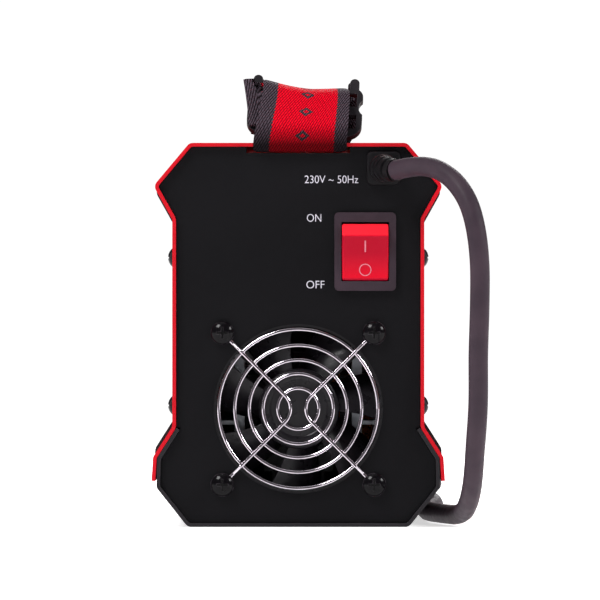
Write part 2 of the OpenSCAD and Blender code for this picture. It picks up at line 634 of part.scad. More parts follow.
module front_screws() color("#26262a") for (p = front_screw_at)
  translate([p[0], front_face_y + 0.05, p[1]]) rotate([-90, 0, 0]) {
    dome_head(3, 1.6);
    translate([0, 0, -6]) cylinder(r = 1.6, h = 6 + e);
  }

// Inside: power board on standoffs, with cooled parts either side of the air path.
board_z = 14;
board_t = 1.6;
standoffs = [for (x = [-36, 36], y = [-78, 10, 92]) [x, y]];
module main_board() color("#14603a") difference() {
  box(-42, 42, -84, 100, board_z, board_z + board_t);
  for (p = standoffs) translate([p[0], p[1], board_z - 1]) cylinder(r = 1.7, h = 4);
}
module board_standoffs() color("#b5893f") for (p = standoffs)
translate([p[0], p[1], sheet + 0.05]) difference() {
  cylinder(r = 3.2, h = board_z - sheet - 0.1, $fn = 6);
  translate([0, 0, -1]) cylinder(r = 1.55, h = board_z);
}
module board_screws() color("#c5c8cd") for (p = standoffs) translate([p[0], p[1], board_z + board_t + 0.05]) {
  dome_head(2.9, 1.6);
  translate([0, 0, -7]) cylinder(r = 1.5, h = 7 + e);
}
sink_z = [board_z + board_t + 0.3, 84];
module heatsink(l) {
  box(0, 4, 0, l, 0, sink_z[1] - sink_z[0]);
  for (i = [0:8]) translate([0, 0, i * (sink_z[1] - sink_z[0] - 1.6) / 8]) box(3.9, 17, 0, l, 0, 1.6);
}
module heatsink_left() color("#b7bbc1") translate([-22, -70, sink_z[0]]) mirror([1, 0, 0]) heatsink(72);
module heatsink_right() color("#b7bbc1") translate([22, -70, sink_z[0]]) heatsink(72);
module package(x, y) {
  side = sign(x);
  box(min(x, x - side * 4.8), max(x, x - side * 4.8), y - 7.8, y + 7.8, 40, 61);
  for (p = [-5.4, 0, 5.4]) box(x - side * 2.4 - 0.5, x - side * 2.4 + 0.5, y + p - 0.6, y + p + 0.6,
                               board_z + board_t + 0.1, 40 + e);
}
module power_transistors() color("#1a1a1c") for (y = [-60, -42, -24, -6]) package(-21.9, y);
module output_diodes() color("#1a1a1c") for (y = [-60, -42, -24]) package(21.9, y);
module mains_rectifier() color("#2a2a2d") {
  box(-14, 14, -84, -78, 22, 42);
  for (x = [-10, -3.4, 3.4, 10]) box(x - 0.6, x + 0.6, -81.6, -80.4, board_z + board_t + 0.1, 22 + e);
}
module bulk_capacitors() color("#20242e") for (p = [[-24, 28], [-24, 62]])
  translate([p[0], p[1], board_z + board_t + 0.1]) {
    cylinder(r = 15, h = 48);
    translate([0, 0, 48 - e]) cylinder(r = 13.6, h = 0.8);
  }
core_x = [-2, 38];
core_y = [26, 54];
core_z = [board_z + board_t + 0.2, 70];
limb_x = [12, 24];
module transformer_core() color("#35353a") difference() {
  box(core_x[0], core_x[1], core_y[0], core_y[1], core_z[0], core_z[1]);
  for (x = [limb_x[0] - 7, limb_x[1]])
    box(x, x + 7, core_y[0] - 1, core_y[1] + 1, core_z[0] + 8, core_z[1] - 8);
}
module transformer_winding() color("#b5651d") difference() {
  box(limb_x[0] - 6.6, limb_x[1] + 6.6, core_y[0] - 7, core_y[1] + 7, core_z[0] + 9, core_z[1] - 9);
  box(limb_x[0] - 0.1, limb_x[1] + 0.1, core_y[0] - 0.1, core_y[1] + 0.1, core_z[0] + 8, core_z[1] - 8);
}
module output_choke() color("#b5651d") translate([14, 76, 32]) rotate([90, 0, 0]) rotate_extrude()
  translate([10.5, 0]) circle(5.2);
module bus_bar(s) difference() {
  union() {
    box(s * socket_pitch / 2 - 6, s * socket_pitch / 2 + 6, front_face_y - 26, front_face_y - 24.1,
        22, socket_z + 7);
    box(s * socket_pitch / 2 - 6, s * socket_pitch / 2 + 6, front_face_y - 34, front_face_y - 24.1, 22, 24);
  }
  rod_y(2.1, front_face_y - 30, front_face_y - 20, s * socket_pitch / 2, socket_z);
}
module bus_bar_plus() color("#b87333") bus_bar(1);
module bus_bar_minus() color("#b87333") bus_bar(-1);

hood();
base_tray();
rear_panel();
front_panel();
front_bezel();
case_screws();
fan_guard();
fan_screws();
fan_nuts();
fan_frame();
fan_bearing();
fan_rotor();
fan_shaft();
switch_housing();
switch_rocker();
switch_terminals();
strain_relief();
power_cord();
cord_coil();
plug_lead();
cord_tie();
plug_body();
plug_pins();
strap_webbing();
strap_buckle_rear();
strap_buckle_front();
current_knob();
knob_insert();
pot_shaft();
potentiometer();
socket_shells();
socket_inserts();
socket_nuts();
power_light();
overheat_light();
display_window();
display_module();
control_board();
front_screws();
main_board();
board_standoffs();
board_screws();
heatsink_left();
heatsink_right();
power_transistors();
output_diodes();
mains_rectifier();
bulk_capacitors();
transformer_core();
transformer_winding();
output_choke();
bus_bar_plus();
bus_bar_minus();
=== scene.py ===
"""Looks of a stick welding inverter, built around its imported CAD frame.

Metres, +Z up. The rear panel with the fan, the switch and the mains lead faces -Y.
Sizes and places of pieces are written in millimetres and become metres by mm() or MM, while the
camera's, the floor's and the lights' are in metres.
Order: shader helpers, camera, floor and lights, finishes, mains lead, carried-over nodes, fan rotor,
carry strap, coil tie, labels and marks.
"""
import json
import math

import bmesh
import bpy
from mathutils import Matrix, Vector
from mathutils.bvhtree import BVHTree


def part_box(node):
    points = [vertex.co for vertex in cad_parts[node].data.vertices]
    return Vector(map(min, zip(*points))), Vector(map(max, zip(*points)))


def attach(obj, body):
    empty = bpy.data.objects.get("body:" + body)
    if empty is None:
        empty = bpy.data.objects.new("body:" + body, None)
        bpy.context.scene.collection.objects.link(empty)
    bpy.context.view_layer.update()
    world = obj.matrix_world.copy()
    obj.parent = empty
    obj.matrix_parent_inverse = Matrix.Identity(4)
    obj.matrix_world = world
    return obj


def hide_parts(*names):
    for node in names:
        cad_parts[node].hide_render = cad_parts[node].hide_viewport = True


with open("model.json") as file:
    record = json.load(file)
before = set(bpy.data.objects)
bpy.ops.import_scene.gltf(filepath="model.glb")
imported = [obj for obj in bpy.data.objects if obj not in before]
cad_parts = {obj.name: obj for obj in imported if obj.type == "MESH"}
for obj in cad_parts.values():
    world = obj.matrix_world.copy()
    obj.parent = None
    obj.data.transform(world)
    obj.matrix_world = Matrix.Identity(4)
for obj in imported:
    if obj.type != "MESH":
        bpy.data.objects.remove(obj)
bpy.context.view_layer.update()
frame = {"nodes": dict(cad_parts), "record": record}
nodes = frame["nodes"]

MM = 0.001


def mm(*values):
    """Millimetres as a point in metres."""
    return Vector([value * MM for value in values])


def centre(node):
    """Middle of a CAD node's box."""
    low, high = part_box(node)
    return (low + high) / 2


def link(obj):
    """Puts a new object into the scene."""
    bpy.context.scene.collection.objects.link(obj)
    return obj


# ---------------------------------------------------------------- shader helpers


def tone(red, green, blue):
    """Screen colour, 0 to 255, as a linear colour."""
    def linear(value):
        share = value / 255
        return share / 12.92 if share <= 0.04045 else ((share + 0.055) / 1.055) ** 2.4
    return (linear(red), linear(green), linear(blue), 1)


def add(tree, kind, wires=None, **settings):
    """Adds a shader node; wires maps its inputs to sockets or values."""
    made = tree.nodes.new("ShaderNode" + kind)
    for key, value in settings.items():
        setattr(made, key, value)
    for key, value in (wires or {}).items():
        if isinstance(value, bpy.types.NodeSocket):
            tree.links.new(value, made.inputs[key])
        else:
            made.inputs[key].default_value = value
    return made


def maths(tree, operation, first, second=0.0):
    """Result of a math node."""
    return add(tree, "Math", {0: first, 1: second}, operation=operation).outputs[0]


def grain(tree, scale, detail=3, place=None, stretch=None):
    """Noise at scale features per metre, stretched along the axes if asked."""
    if place is None:
        place = add(tree, "TexCoord").outputs["Object"]
    if stretch:
        place = add(tree, "VectorMath", {0: place, 1: stretch}, operation="MULTIPLY").outputs[0]
    made = add(tree, "TexNoise", {"Vector": place, "Scale": scale, "Detail": detail, "Roughness": 0.55})
    return made.outputs[0]


def spread(tree, value, low, high, start=0.35, end=0.65):
    """Value between start and end mapped to low and high."""
    wires = {"Value": value, "From Min": start, "From Max": end, "To Min": low, "To Max": high}
    return add(tree, "MapRange", wires).outputs[0]


def blended(tree, share, first, second):
    """Colour between first and second."""
    made = add(tree, "Mix", {0: share, 6: first, 7: second}, data_type="RGBA")
    return made.outputs[2]


def bumped(tree, height, depth, under=None):
    """Normal from a height of 0 to 1 that stands for depth in metres."""
    wires = {"Height": height, "Distance": depth, "Strength": 1.0}
    if under:
        wires["Normal"] = under
    return add(tree, "Bump", wires).outputs[0]


def opened(material):
    """A material's node tree and its main shader."""
    return material.node_tree, material.node_tree.nodes["Principled BSDF"]


def fed_by(shader, name):
    """The socket that feeds one of a shader's inputs."""
    return shader.inputs[name].links[0].from_socket


# ---------------------------------------------------------------- camera, floor and lights

PANEL_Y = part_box("rear_panel")[0].y
VIEW_WIDTH = 0.2428
CAMERA_GAP = 4.6
CAMERA_AIM = Vector((0.0007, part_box("hood")[0].y, 0.0918))
FLOOR_RADIUS = 30
FLOOR_SIDES = 96
FLOOR_Z = -0.0002


def make_camera():
    """A long lens straight behind the rear panel."""
    data = bpy.data.cameras.new("camera")
    data.sensor_width = 36
    data.lens = data.sensor_width * CAMERA_GAP / VIEW_WIDTH
    data.clip_end = 100
    camera = link(bpy.data.objects.new("camera", data))
    camera.location = CAMERA_AIM - Vector((0, CAMERA_GAP, 0))
    camera.rotation_euler = (math.pi / 2, 0, 0)
    bpy.context.scene.camera = camera


def make_floor():
    """A pale round floor whose glow rises over the first metre and a half, like a lit sweep."""
    ring = []
    for k in range(FLOOR_SIDES):
        angle = math.tau * k / FLOOR_SIDES
        ring.append((FLOOR_RADIUS * math.cos(angle), FLOOR_RADIUS * math.sin(angle), 0))
    mesh = bpy.data.meshes.new("floor")
    mesh.from_pydata(ring, [], [list(range(FLOOR_SIDES))])
    floor = link(bpy.data.objects.new("floor", mesh))
    floor.location.z = FLOOR_Z
    paint = bpy.data.materials.new("floor_white")
    paint.use_nodes = True
    tree, shader = opened(paint)
    shader.inputs["Base Color"].default_value = (0.86, 0.86, 0.86, 1)
    shader.inputs["Roughness"].default_value = 1
    shader.inputs["Specular IOR Level"].default_value = 0
    shader.inputs["Emission Color"].default_value = (1, 1, 1, 1)
    place = add(tree, "TexCoord").outputs["Object"]
    away = add(tree, "VectorMath", {0: place}, operation="LENGTH").outputs["Value"]
    tree.links.new(spread(tree, away, 0.6, 0.98, 0.15, 1.5), shader.inputs["Emission Strength"])
    mesh.materials.append(paint)


def make_world():
    """White low down beyond the object and dim elsewhere, so that the soft boxes shape the object."""
    world = bpy.data.worlds.new("studio")
    bpy.context.scene.world = world
    world.use_nodes = True
    tree = world.node_tree
    background = tree.nodes["Background"]
    background.inputs["Color"].default_value = (1, 1, 1, 1)
    way = add(tree, "SeparateXYZ", {0: add(tree, "TexCoord").outputs["Generated"]}).outputs
    low_down = spread(tree, way["Y"], 0.3, 1.04, -0.6, 0.3)
    tree.links.new(spread(tree, way["Z"], low_down, 0.16, 0.04, 0.12), background.inputs["Strength"])


def softbox(name, place, target, size, power):
    """A square area light of the given size and watts at place, aimed at target."""
    data = bpy.data.lights.new(name, "AREA")
    data.size = size
    data.energy = power
    light = link(bpy.data.objects.new(name, data))
    light.location = place
    light.rotation_euler = (Vector(target) - Vector(place)).to_track_quat("-Z", "Y").to_euler()


make_camera()
make_floor()
make_world()
bpy.context.scene.view_settings.view_transform = "Standard"
softbox("key_left", (-1.05, -1.0, 1.8), (0, -0.1, 0.1), 0.8, 46)
softbox("key_right", (1.6, -0.6, 1.05), (0, -0.1, 0.1), 0.5, 18)
softbox("side_left", (-1.6, 0.3, 0.55), (0, 0, 0.1), 0.8, 3.5)
softbox("side_right", (1.6, 0.3, 0.55), (0, 0, 0.1), 0.8, 3.5)
softbox("front", (0.4, 1.9, 1.2), (0, 0.1, 0.1), 1.0, 22)
softbox("overhead", (0, 0.1, 2.0), (0, 0, 0.1), 1.2, 5)


# ---------------------------------------------------------------- finish helpers

SLOTS = {part["node"]: part["material_slot"] for part in frame["record"]["subparts"]}
finishes = {}


def edge_wear(tree, radius, amount):
    """Mask that is high along worn edges."""
    rounded = add(tree, "Bevel", {"Radius": radius}, samples=4).outputs[0]
    straight = add(tree, "NewGeometry").outputs["Normal"]
    facing = add(tree, "VectorMath", {0: rounded, 1: straight}, operation="DOT_PRODUCT").outputs["Value"]
    edge = spread(tree, facing, 1.0, 0.0, 0.88, 0.995)
    patch = spread(tree, grain(tree, 420, 4), 0.0, amount, 0.42, 0.62)
    return maths(tree, "MULTIPLY", edge, patch)


def finish(slot, colour, rough, other, blotch=30, fine=1400, depth=0.008, uneven=0.07,
           worn=None, wear=0.5, **sockets):
    """One procedural material: drifting colour and roughness, fine surface grain, worn edges.

    colour and other are its two tones, rough and uneven its roughness and how far that drifts,
    blotch and fine the noises' features per metre, depth the grain's height in millimetres,
    worn the tone of worn edges, wear how strongly it shows, and sockets the shader's other inputs.
    """
    made = bpy.data.materials.new(slot)
    made.use_nodes = True
    tree, shader = opened(made)
    for name, value in sockets.items():
        shader.inputs[name.replace("_", " ").title().replace("Ior", "IOR")].default_value = value
    drift = grain(tree, blotch, 4)
    base = blended(tree, spread(tree, drift, 0.0, 1.0), colour, other)
    if worn:
        base = blended(tree, edge_wear(tree, 0.0005, wear), base, worn)
    rub = grain(tree, blotch * 4.3, 5)
    tree.links.new(base, shader.inputs["Base Color"])
    tree.links.new(spread(tree, rub, rough - uneven, rough + uneven, 0.3, 0.7), shader.inputs["Roughness"])
    tree.links.new(bumped(tree, grain(tree, fine, 3), depth * MM), shader.inputs["Normal"])
    finishes[slot] = made
    return made


# ---------------------------------------------------------------- mesh helpers


def piece(name, points, faces, slot, body="case", uv=None, look=None):
    """A smooth-shaded mesh piece that rides on a body."""
    mesh = bpy.data.meshes.new(name)
    mesh.from_pydata(points, [], faces)
    if uv:
        layer = mesh.uv_layers.new(name="weave")
        for corner in mesh.loops:
            layer.data[corner.index].uv = uv[corner.vertex_index]
    soften(mesh, 38)
    obj = link(bpy.data.objects.new(name, mesh))
    return dressed(obj, slot, body, look)


def dressed(obj, slot, body="case", look=None):
    """Gives a new piece its body, its slot and that slot's finish, or another one as its look."""
    obj.data.materials.clear()
    obj.data.materials.append(finishes[look or slot])
    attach(obj, body)
    return obj


def soften(mesh, angle):
    """Smooth shading with sharp edges above angle degrees."""
    mesh.polygons.foreach_set("use_smooth", [True] * len(mesh.polygons))
    mesh.set_sharp_from_angle(angle=math.radians(angle))


CAD_SHARP = 32


def refined(node, width, segments=2, body="case", clamp=True):
    """A copy of a CAD node with its edges rounded by width millimetres, in place of the node."""
    mesh = nodes[node].data.copy()
    form = bmesh.new()
    form.from_mesh(mesh)
    bmesh.ops.remove_doubles(form, verts=form.verts, dist=0.003 * MM)
    bmesh.ops.dissolve_limit(form, angle_limit=math.radians(0.6), verts=form.verts, edges=form.edges)
    form.to_mesh(mesh)
    form.free()
    custom = mesh.attributes.get("custom_normal")
    if custom:
        mesh.attributes.remove(custom)
    soften(mesh, CAD_SHARP)
    obj = link(bpy.data.objects.new(node + "_finished", mesh))
    bevel = obj.modifiers.new("rounding", "BEVEL")
    bevel.width = width * MM
    bevel.segments = segments
    bevel.limit_method = "ANGLE"
    bevel.angle_limit = math.radians(CAD_SHARP)
    bevel.harden_normals = True
    bevel.use_clamp_overlap = clamp
    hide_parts(node)
    return dressed(obj, SLOTS[node], body)


def loft(rings, ends=True):
    """Points and faces of a skin through closed rings of equally many points."""
    count = len(rings[0])
    points = [point for ring in rings for point in ring]
    faces = []
    for row in range(len(rings) - 1):
        for k in range(count):
            after = (k + 1) % count
            base = row * count
            faces.append((base + k, base + after, base + count + after, base + count + k))
    if ends:
        faces.append(tuple(reversed(range(count))))
        faces.append(tuple(range((len(rings) - 1) * count, len(rings) * count)))
    return points, faces


def swept(path, radii, sides=28):
    """Skin of round sections of the given radii along a path."""
    rings = []
    side = None
    for index, point in enumerate(path):
        ahead = path[min(index + 1, len(path) - 1)]
        behind = path[max(index - 1, 0)]
        along = (ahead - behind).normalized()
        if side is None:
            side = along.orthogonal().normalized()
        side = (side - along * side.dot(along)).normalized()
        other = along.cross(side)
        rings.append([point + radii[index] * (side * math.cos(math.tau * k / sides)
                                              + other * math.sin(math.tau * k / sides))
                      for k in range(sides)])
    return loft(rings)


def smooth(points, steps):
    """Catmull-Rom curve through the points, with steps to a span."""
    first = points[0] * 2 - points[1]
    last = points[-1] * 2 - points[-2]
    padded = [first, *points, last]
    made = []
    for i in range(1, len(padded) - 2):
        a, b, c, d = padded[i - 1:i + 3]
        for k in range(steps):
            t = k / steps
            made.append(0.5 * (2 * b + (c - a) * t + (2 * a - 5 * b + 4 * c - d) * t * t
                               + (3 * b - a - 3 * c + d) * t ** 3))
    return made + [points[-1]]


# ---------------------------------------------------------------- finishes

finish("red_paint", tone(194, 5, 26), 0.42, tone(180, 5, 23), blotch=12, fine=1500, depth=0.012,
       worn=tone(150, 24, 32), wear=0.35, specular_ior_level=0.14, coat_weight=0.04, coat_roughness=0.2)
finish("black_paint", tone(30, 27, 31), 0.45, tone(24, 22, 26), blotch=14, fine=1500, depth=0.014,
       worn=tone(80, 74, 78), wear=0.35, specular_ior_level=0.2)
finish("panel_black", tone(13, 12, 15), 0.55, tone(10, 9, 12), blotch=16, fine=2600, depth=0.01,
       uneven=0.05, specular_ior_level=0.09)
finish("black_plastic", tone(26, 24, 28), 0.48, tone(21, 19, 23), blotch=20, fine=2200, depth=0.016,
       specular_ior_level=0.25)
finish("fan_plastic", tone(30, 27, 31), 0.3, tone(23, 21, 25), blotch=60, fine=900, depth=0.004,
       uneven=0.05, specular_ior_level=0.22)
finish("switch_grey", tone(54, 42, 50), 0.45, tone(46, 36, 43), blotch=90, fine=3000, depth=0.006,
       worn=tone(84, 70, 78), wear=0.4, specular_ior_level=0.12)
finish("switch_red", tone(204, 12, 38), 0.35, tone(196, 10, 34), blotch=40, fine=2600, depth=0.002,
       uneven=0.03, specular_ior_level=0.08)
finish("chrome_wire", tone(232, 224, 232), 0.11, tone(206, 198, 207), blotch=300, fine=900, depth=0.004,
       uneven=0.05, metallic=1.0)
finish("black_steel", tone(12, 10, 13), 0.16, tone(9, 7, 10), blotch=300, fine=1500, depth=0.005,
       worn=tone(84, 78, 84), wear=0.5, uneven=0.04, specular_ior_level=0.12)
finish("plated_steel", tone(198, 200, 206), 0.28, tone(168, 170, 178), blotch=200, fine=2200, depth=0.006,
       metallic=1.0)
finish("brass", tone(206, 168, 92), 0.26, tone(176, 136, 66), blotch=150, fine=1800, depth=0.008,
       metallic=1.0)
finish("bronze", tone(150, 110, 66), 0.4, tone(118, 84, 48), blotch=200, fine=2600, depth=0.012,
       metallic=1.0)
finish("lead_rubber", tone(61, 49, 57), 0.5, tone(52, 42, 50), blotch=70, fine=2600, depth=0.02,
       specular_ior_level=0.1)
finish("relief_rubber", tone(16, 14, 17), 0.5, tone(12, 11, 13), blotch=90, fine=2800, depth=0.01,
       worn=tone(62, 55, 60), wear=0.3, specular_ior_level=0.1)
finish("plug_rubber", tone(34, 33, 36), 0.5, tone(28, 27, 30), blotch=50, fine=2400, depth=0.02,
       specular_ior_level=0.4)
finish("tie_fabric", tone(26, 25, 28), 0.85, tone(16, 15, 18), blotch=200, fine=3600, depth=0.12,
       sheen_weight=0.4, specular_ior_level=0.2)
finish("slider_plastic", tone(30, 26, 30), 0.5, tone(20, 17, 21), blotch=120, fine=2600, depth=0.01,
       worn=tone(100, 88, 98), wear=0.3, specular_ior_level=0.12)
finish("knob_plastic", tone(38, 37, 41), 0.4, tone(30, 29, 33), blotch=60, fine=2600, depth=0.012,
       worn=tone(90, 88, 92), wear=0.4, specular_ior_level=0.45)
finish("light_green", tone(52, 176, 78), 0.18, tone(38, 150, 62), blotch=200, fine=1200, depth=0.003,
       specular_ior_level=0.6, transmission_weight=0.3)
finish("light_amber", tone(236, 158, 36), 0.18, tone(214, 134, 24), blotch=200, fine=1200, depth=0.003,
       specular_ior_level=0.6, transmission_weight=0.3)
finish("display_tint", tone(46, 12, 18), 0.1, tone(36, 9, 14), blotch=60, fine=600, depth=0.002,
       uneven=0.03, specular_ior_level=0.6, coat_weight=0.5, coat_roughness=0.04)
finish("module_dark", tone(40, 24, 27), 0.45, tone(28, 18, 20), blotch=120, fine=2400, depth=0.01)
finish("epoxy_black", tone(32, 31, 34), 0.55, tone(24, 23, 26), blotch=150, fine=3600, depth=0.02)
finish("capacitor_sleeve", tone(34, 40, 56), 0.28, tone(26, 31, 45), blotch=80, fine=900, depth=0.01)
finish("ferrite", tone(58, 57, 62), 0.6, tone(44, 43, 48), blotch=160, fine=3200, depth=0.03)


def scored(slot, stretch, scale, depth):
    """Adds fine lines along the axis that stretch leaves long to a finish."""
    tree, shader = opened(finishes[slot])
    lines = grain(tree, scale, 2, stretch=stretch)
    tree.links.new(bumped(tree, lines, depth * MM, fed_by(shader, "Normal")), shader.inputs["Normal"])


finish("aluminium", tone(158, 160, 165), 0.34, tone(134, 136, 142), blotch=90, fine=2600, depth=0.006,
       metallic=1.0)
scored("aluminium", (1, 0.04, 1), 1800, 0.03)
finish("copper", tone(206, 124, 74), 0.3, tone(170, 92, 50), blotch=120, fine=2600, depth=0.006,
       metallic=1.0)
scored("copper", (0.05, 0.05, 1), 1300, 0.25)


def paint_rocker_light_and_shade():
    """Painted shade and painted highlight: the rocker's red is deeper where its face turns downwards and
    brighter where it turns upwards, on its upper band.
    """
    tree, shader = opened(finishes["switch_red"])
    base = fed_by(shader, "Base Color")
    facing = add(tree, "SeparateXYZ", {0: add(tree, "NewGeometry").outputs["Normal"]}).outputs["Z"]
    # Painted shade on faces turned downwards, painted highlight on faces turned upwards.
    below = spread(tree, facing, 1.0, 0.0, -0.3, 0.02)
    above = spread(tree, facing, 0.0, 1.0, 0.15, 0.4)
    deep = blended(tree, below, base, tone(168, 2, 34))
    tree.links.new(blended(tree, above, deep, tone(246, 34, 50)), shader.inputs["Base Color"])


paint_rocker_light_and_shade()


def paint_wire_dark_reflection():
    """Painted dark reflection: the guard's plating is darker along the side that faces away from the fan.
    """
    tree, shader = opened(finishes["chrome_wire"])
    base = fed_by(shader, "Base Color")
    facing = add(tree, "SeparateXYZ", {0: add(tree, "NewGeometry").outputs["Normal"]}).outputs["Y"]
    # Painted dark reflection down the middle of each wire, where it faces away from the fan.
    painted_dark_share = spread(tree, facing, 1.0, 0.0, -0.985, -0.86)
    tree.links.new(blended(tree, painted_dark_share, base, tone(92, 84, 92)), shader.inputs["Base Color"])


paint_wire_dark_reflection()


def make_board_finish():
    """Green solder mask with lighter tracks that step round its cells."""
    made = finish("board_green", tone(24, 104, 60), 0.32, tone(16, 84, 48), blotch=70, fine=2200,
                  depth=0.006, specular_ior_level=0.5)
    tree, shader = opened(made)
    base = fed_by(shader, "Base Color")
    place = add(tree, "TexCoord").outputs["Object"]
    cells = add(tree, "TexVoronoi", {"Vector": place, "Scale": 160}, distance="MANHATTAN")
    tracks = maths(tree, "PINGPONG", cells.outputs["Distance"], 0.14)
    lines = spread(tree, tracks, 0.0, 0.55, 0.1, 0.12)
    tree.links.new(blended(tree, lines, base, tone(60, 142, 84)), shader.inputs["Base Color"])


make_board_finish()

TWILL_ANGLE = math.radians(62)
TWILL_PITCH = 0.92 * MM
FLOAT_LENGTH = 1.9 * MM
BAND_HALF = 13.05 * MM
BAND_SHIFT = 0.6 * MM
BORDER_STEP = 1.2 * MM
DIAMOND_GAP = 5 * MM
DIAMOND_START = 3.5 * MM
DIAMOND_HALF = (3.1 * MM, 2.3 * MM)


def make_webbing_finish():
    """Twill webbing: black edges, a red band with zigzag borders, and woven diamonds."""
    made = bpy.data.materials.new("webbing")
    made.use_nodes = True
    tree, shader = opened(made)
    shader.inputs["Specular IOR Level"].default_value = 0.03
    weave = add(tree, "UVMap", uv_map="weave").outputs[0]
    across, along, _ = add(tree, "SeparateXYZ", {0: weave}).outputs
    # Ridges of the twill, each broken into floats that step from one yarn to the next.
    ridge_way = maths(tree, "SUBTRACT", maths(tree, "MULTIPLY", across, math.sin(TWILL_ANGLE)),
                      maths(tree, "MULTIPLY", along, math.cos(TWILL_ANGLE)))
    yarns = maths(tree, "DIVIDE", ridge_way, TWILL_PITCH)
    ridge = maths(tree, "PINGPONG", yarns, 0.5)
    float_way = maths(tree, "ADD", maths(tree, "MULTIPLY", across, math.cos(TWILL_ANGLE) / FLOAT_LENGTH),
                      maths(tree, "MULTIPLY", along, math.sin(TWILL_ANGLE) / FLOAT_LENGTH))
    stepped = maths(tree, "ADD", float_way, maths(tree, "MULTIPLY", maths(tree, "FLOOR", yarns), 0.38))
    floats = maths(tree, "SINE", maths(tree, "MULTIPLY", stepped, math.tau))
    height = maths(tree, "MULTIPLY", ridge, spread(tree, floats, 1.1, 2.0, -1.0, 0.4))
    fibre = grain(tree, 1.0, 3, weave, (5200, 1500, 1))
    # Red band with borders that step from yarn to yarn.
    step = maths(tree, "PINGPONG", maths(tree, "DIVIDE", along, BORDER_STEP), 0.5)
    border = maths(tree, "ADD", maths(tree, "MULTIPLY", step, BORDER_STEP), BAND_HALF - 0.3 * MM)
    offset = maths(tree, "ABSOLUTE", maths(tree, "SUBTRACT", across, BAND_SHIFT))
    inside = maths(tree, "LESS_THAN", offset, border)
    # Diamonds along the band's middle.
    beat = maths(tree, "PINGPONG", maths(tree, "ADD", along, DIAMOND_START), DIAMOND_GAP)
    diamond_sum = maths(tree, "ADD", maths(tree, "DIVIDE", offset, DIAMOND_HALF[0]),
                        maths(tree, "DIVIDE", beat, DIAMOND_HALF[1]))
    diamond = maths(tree, "LESS_THAN", diamond_sum, 1.0)
    hollow = maths(tree, "GREATER_THAN", diamond_sum, 0.42)
    motif = maths(tree, "MULTIPLY", diamond, hollow)
    red_part = maths(tree, "MULTIPLY", inside, maths(tree, "SUBTRACT", 1.0, motif))
    # Painted shade: the grooves between the ridges take a darker red and a darker black.
    groove_shade = spread(tree, height, 0.0, 1.0, 0.12, 0.7)
    red = blended(tree, groove_shade, tone(112, 0, 14), tone(226, 0, 30))
    black = blended(tree, groove_shade, tone(10, 9, 11), tone(72, 63, 72))
    yarn = blended(tree, red_part, black, red)
    worn = blended(tree, spread(tree, fibre, 0.0, 0.1, 0.55, 0.75), yarn, tone(226, 120, 134))
    # Painted shade and painted light: the webbing is darker down by the slots and brighter, by up to a
    # fifth, higher up.
    level = add(tree, "SeparateXYZ", {0: add(tree, "TexCoord").outputs["Object"]}).outputs["Z"]
    painted_shade_and_light = spread(tree, level, 0.2, 1.2, 154.6 * MM, 163.5 * MM)
    lit_and_shaded_yarn = add(tree, "VectorMath", {0: worn, "Scale": painted_shade_and_light}, operation="SCALE").outputs[0]
    tree.links.new(lit_and_shaded_yarn, shader.inputs["Base Color"])
    tree.links.new(spread(tree, fibre, 0.55, 0.8, 0.3, 0.7), shader.inputs["Roughness"])
    coarse = bumped(tree, height, 0.3 * MM)
    tree.links.new(bumped(tree, fibre, 0.04 * MM, coarse), shader.inputs["Normal"])
    finishes["webbing"] = made


make_webbing_finish()


def make_print_finish(name, colour):
    """Printed ink that is a little patchy."""
    finish(name, colour, 0.5, tuple(part * 0.86 for part in colour[:3]) + (1,), blotch=500, fine=2600,
           depth=0.004, specular_ior_level=0.3)


make_print_finish("panel_ink", tone(206, 202, 214))
make_print_finish("rocker_ink", tone(206, 116, 132))


# ---------------------------------------------------------------- mains lead

CORD_D = 8.0
LEAD_ROUTE = [
    (39.2, -137.9, 144.1), (45, -144.9, 145.2), (51, -152, 145.4), (57, -159.2, 143.6), (63, -166.2, 138.8),
    (68, -171.8, 130.8), (71, -175.6, 120), (72.5, -177.5, 106), (72.5, -177.5, 89), (72, -175.5, 70),
    (72, -169.5, 50), (71, -158.5, 32), (70, -143, 17), (68, -124, 8), (65, -102, 4.8), (61, -78, 4.4),
    (57, -50, 4.4), (54, -20, 4.4), (53.5, 20, 4.4), (54.5, 60, 4.4), (57, 100, 4.4), (58, 135, 4.4),
    (58, 170, 4.5), (58, 196, 4.6),
]
TAIL_ROUTE = [
    (58, 196, 12.6), (58, 212, 12.6), (57.5, 228, 13), (54.5, 243, 14.2), (47.5, 256, 15.6),
    (37, 265.5, 17), (25, 270, 18.1), (14, 270.5, 18.5),
]
COIL_AT = (4.9, 196)
COIL_R = 45.1
COIL_LOW = 4.6
COIL_STEPS = 36


def coil_turns():
    """Two turns on the floor that wind inwards, one that climbs, and two back outwards on top."""
    d = CORD_D
    made = []
    for turn in range(5):
        for step in range(COIL_STEPS):
            f = step / COIL_STEPS
            rise = d * math.sin(math.pi * f / 2)
            crossing = COIL_R - d * f - d * math.cos(math.pi * f / 2)
            if turn == 0:
                radius, z = COIL_R + d - d * f, COIL_LOW
            elif turn == 1:
                radius, z = COIL_R - d * f, COIL_LOW
            elif turn == 2:
                radius, z = crossing, COIL_LOW + rise
            else:
                across = math.sqrt(max(0.0, d * d - (d - rise) ** 2))
                radius, z = crossing + across + d * (turn - 3), COIL_LOW + d
            x = COIL_AT[0] + radius * math.cos(math.tau * f)
            y = COIL_AT[1] + radius * math.sin(math.tau * f)
            made.append(mm(x, y, z))
    return made


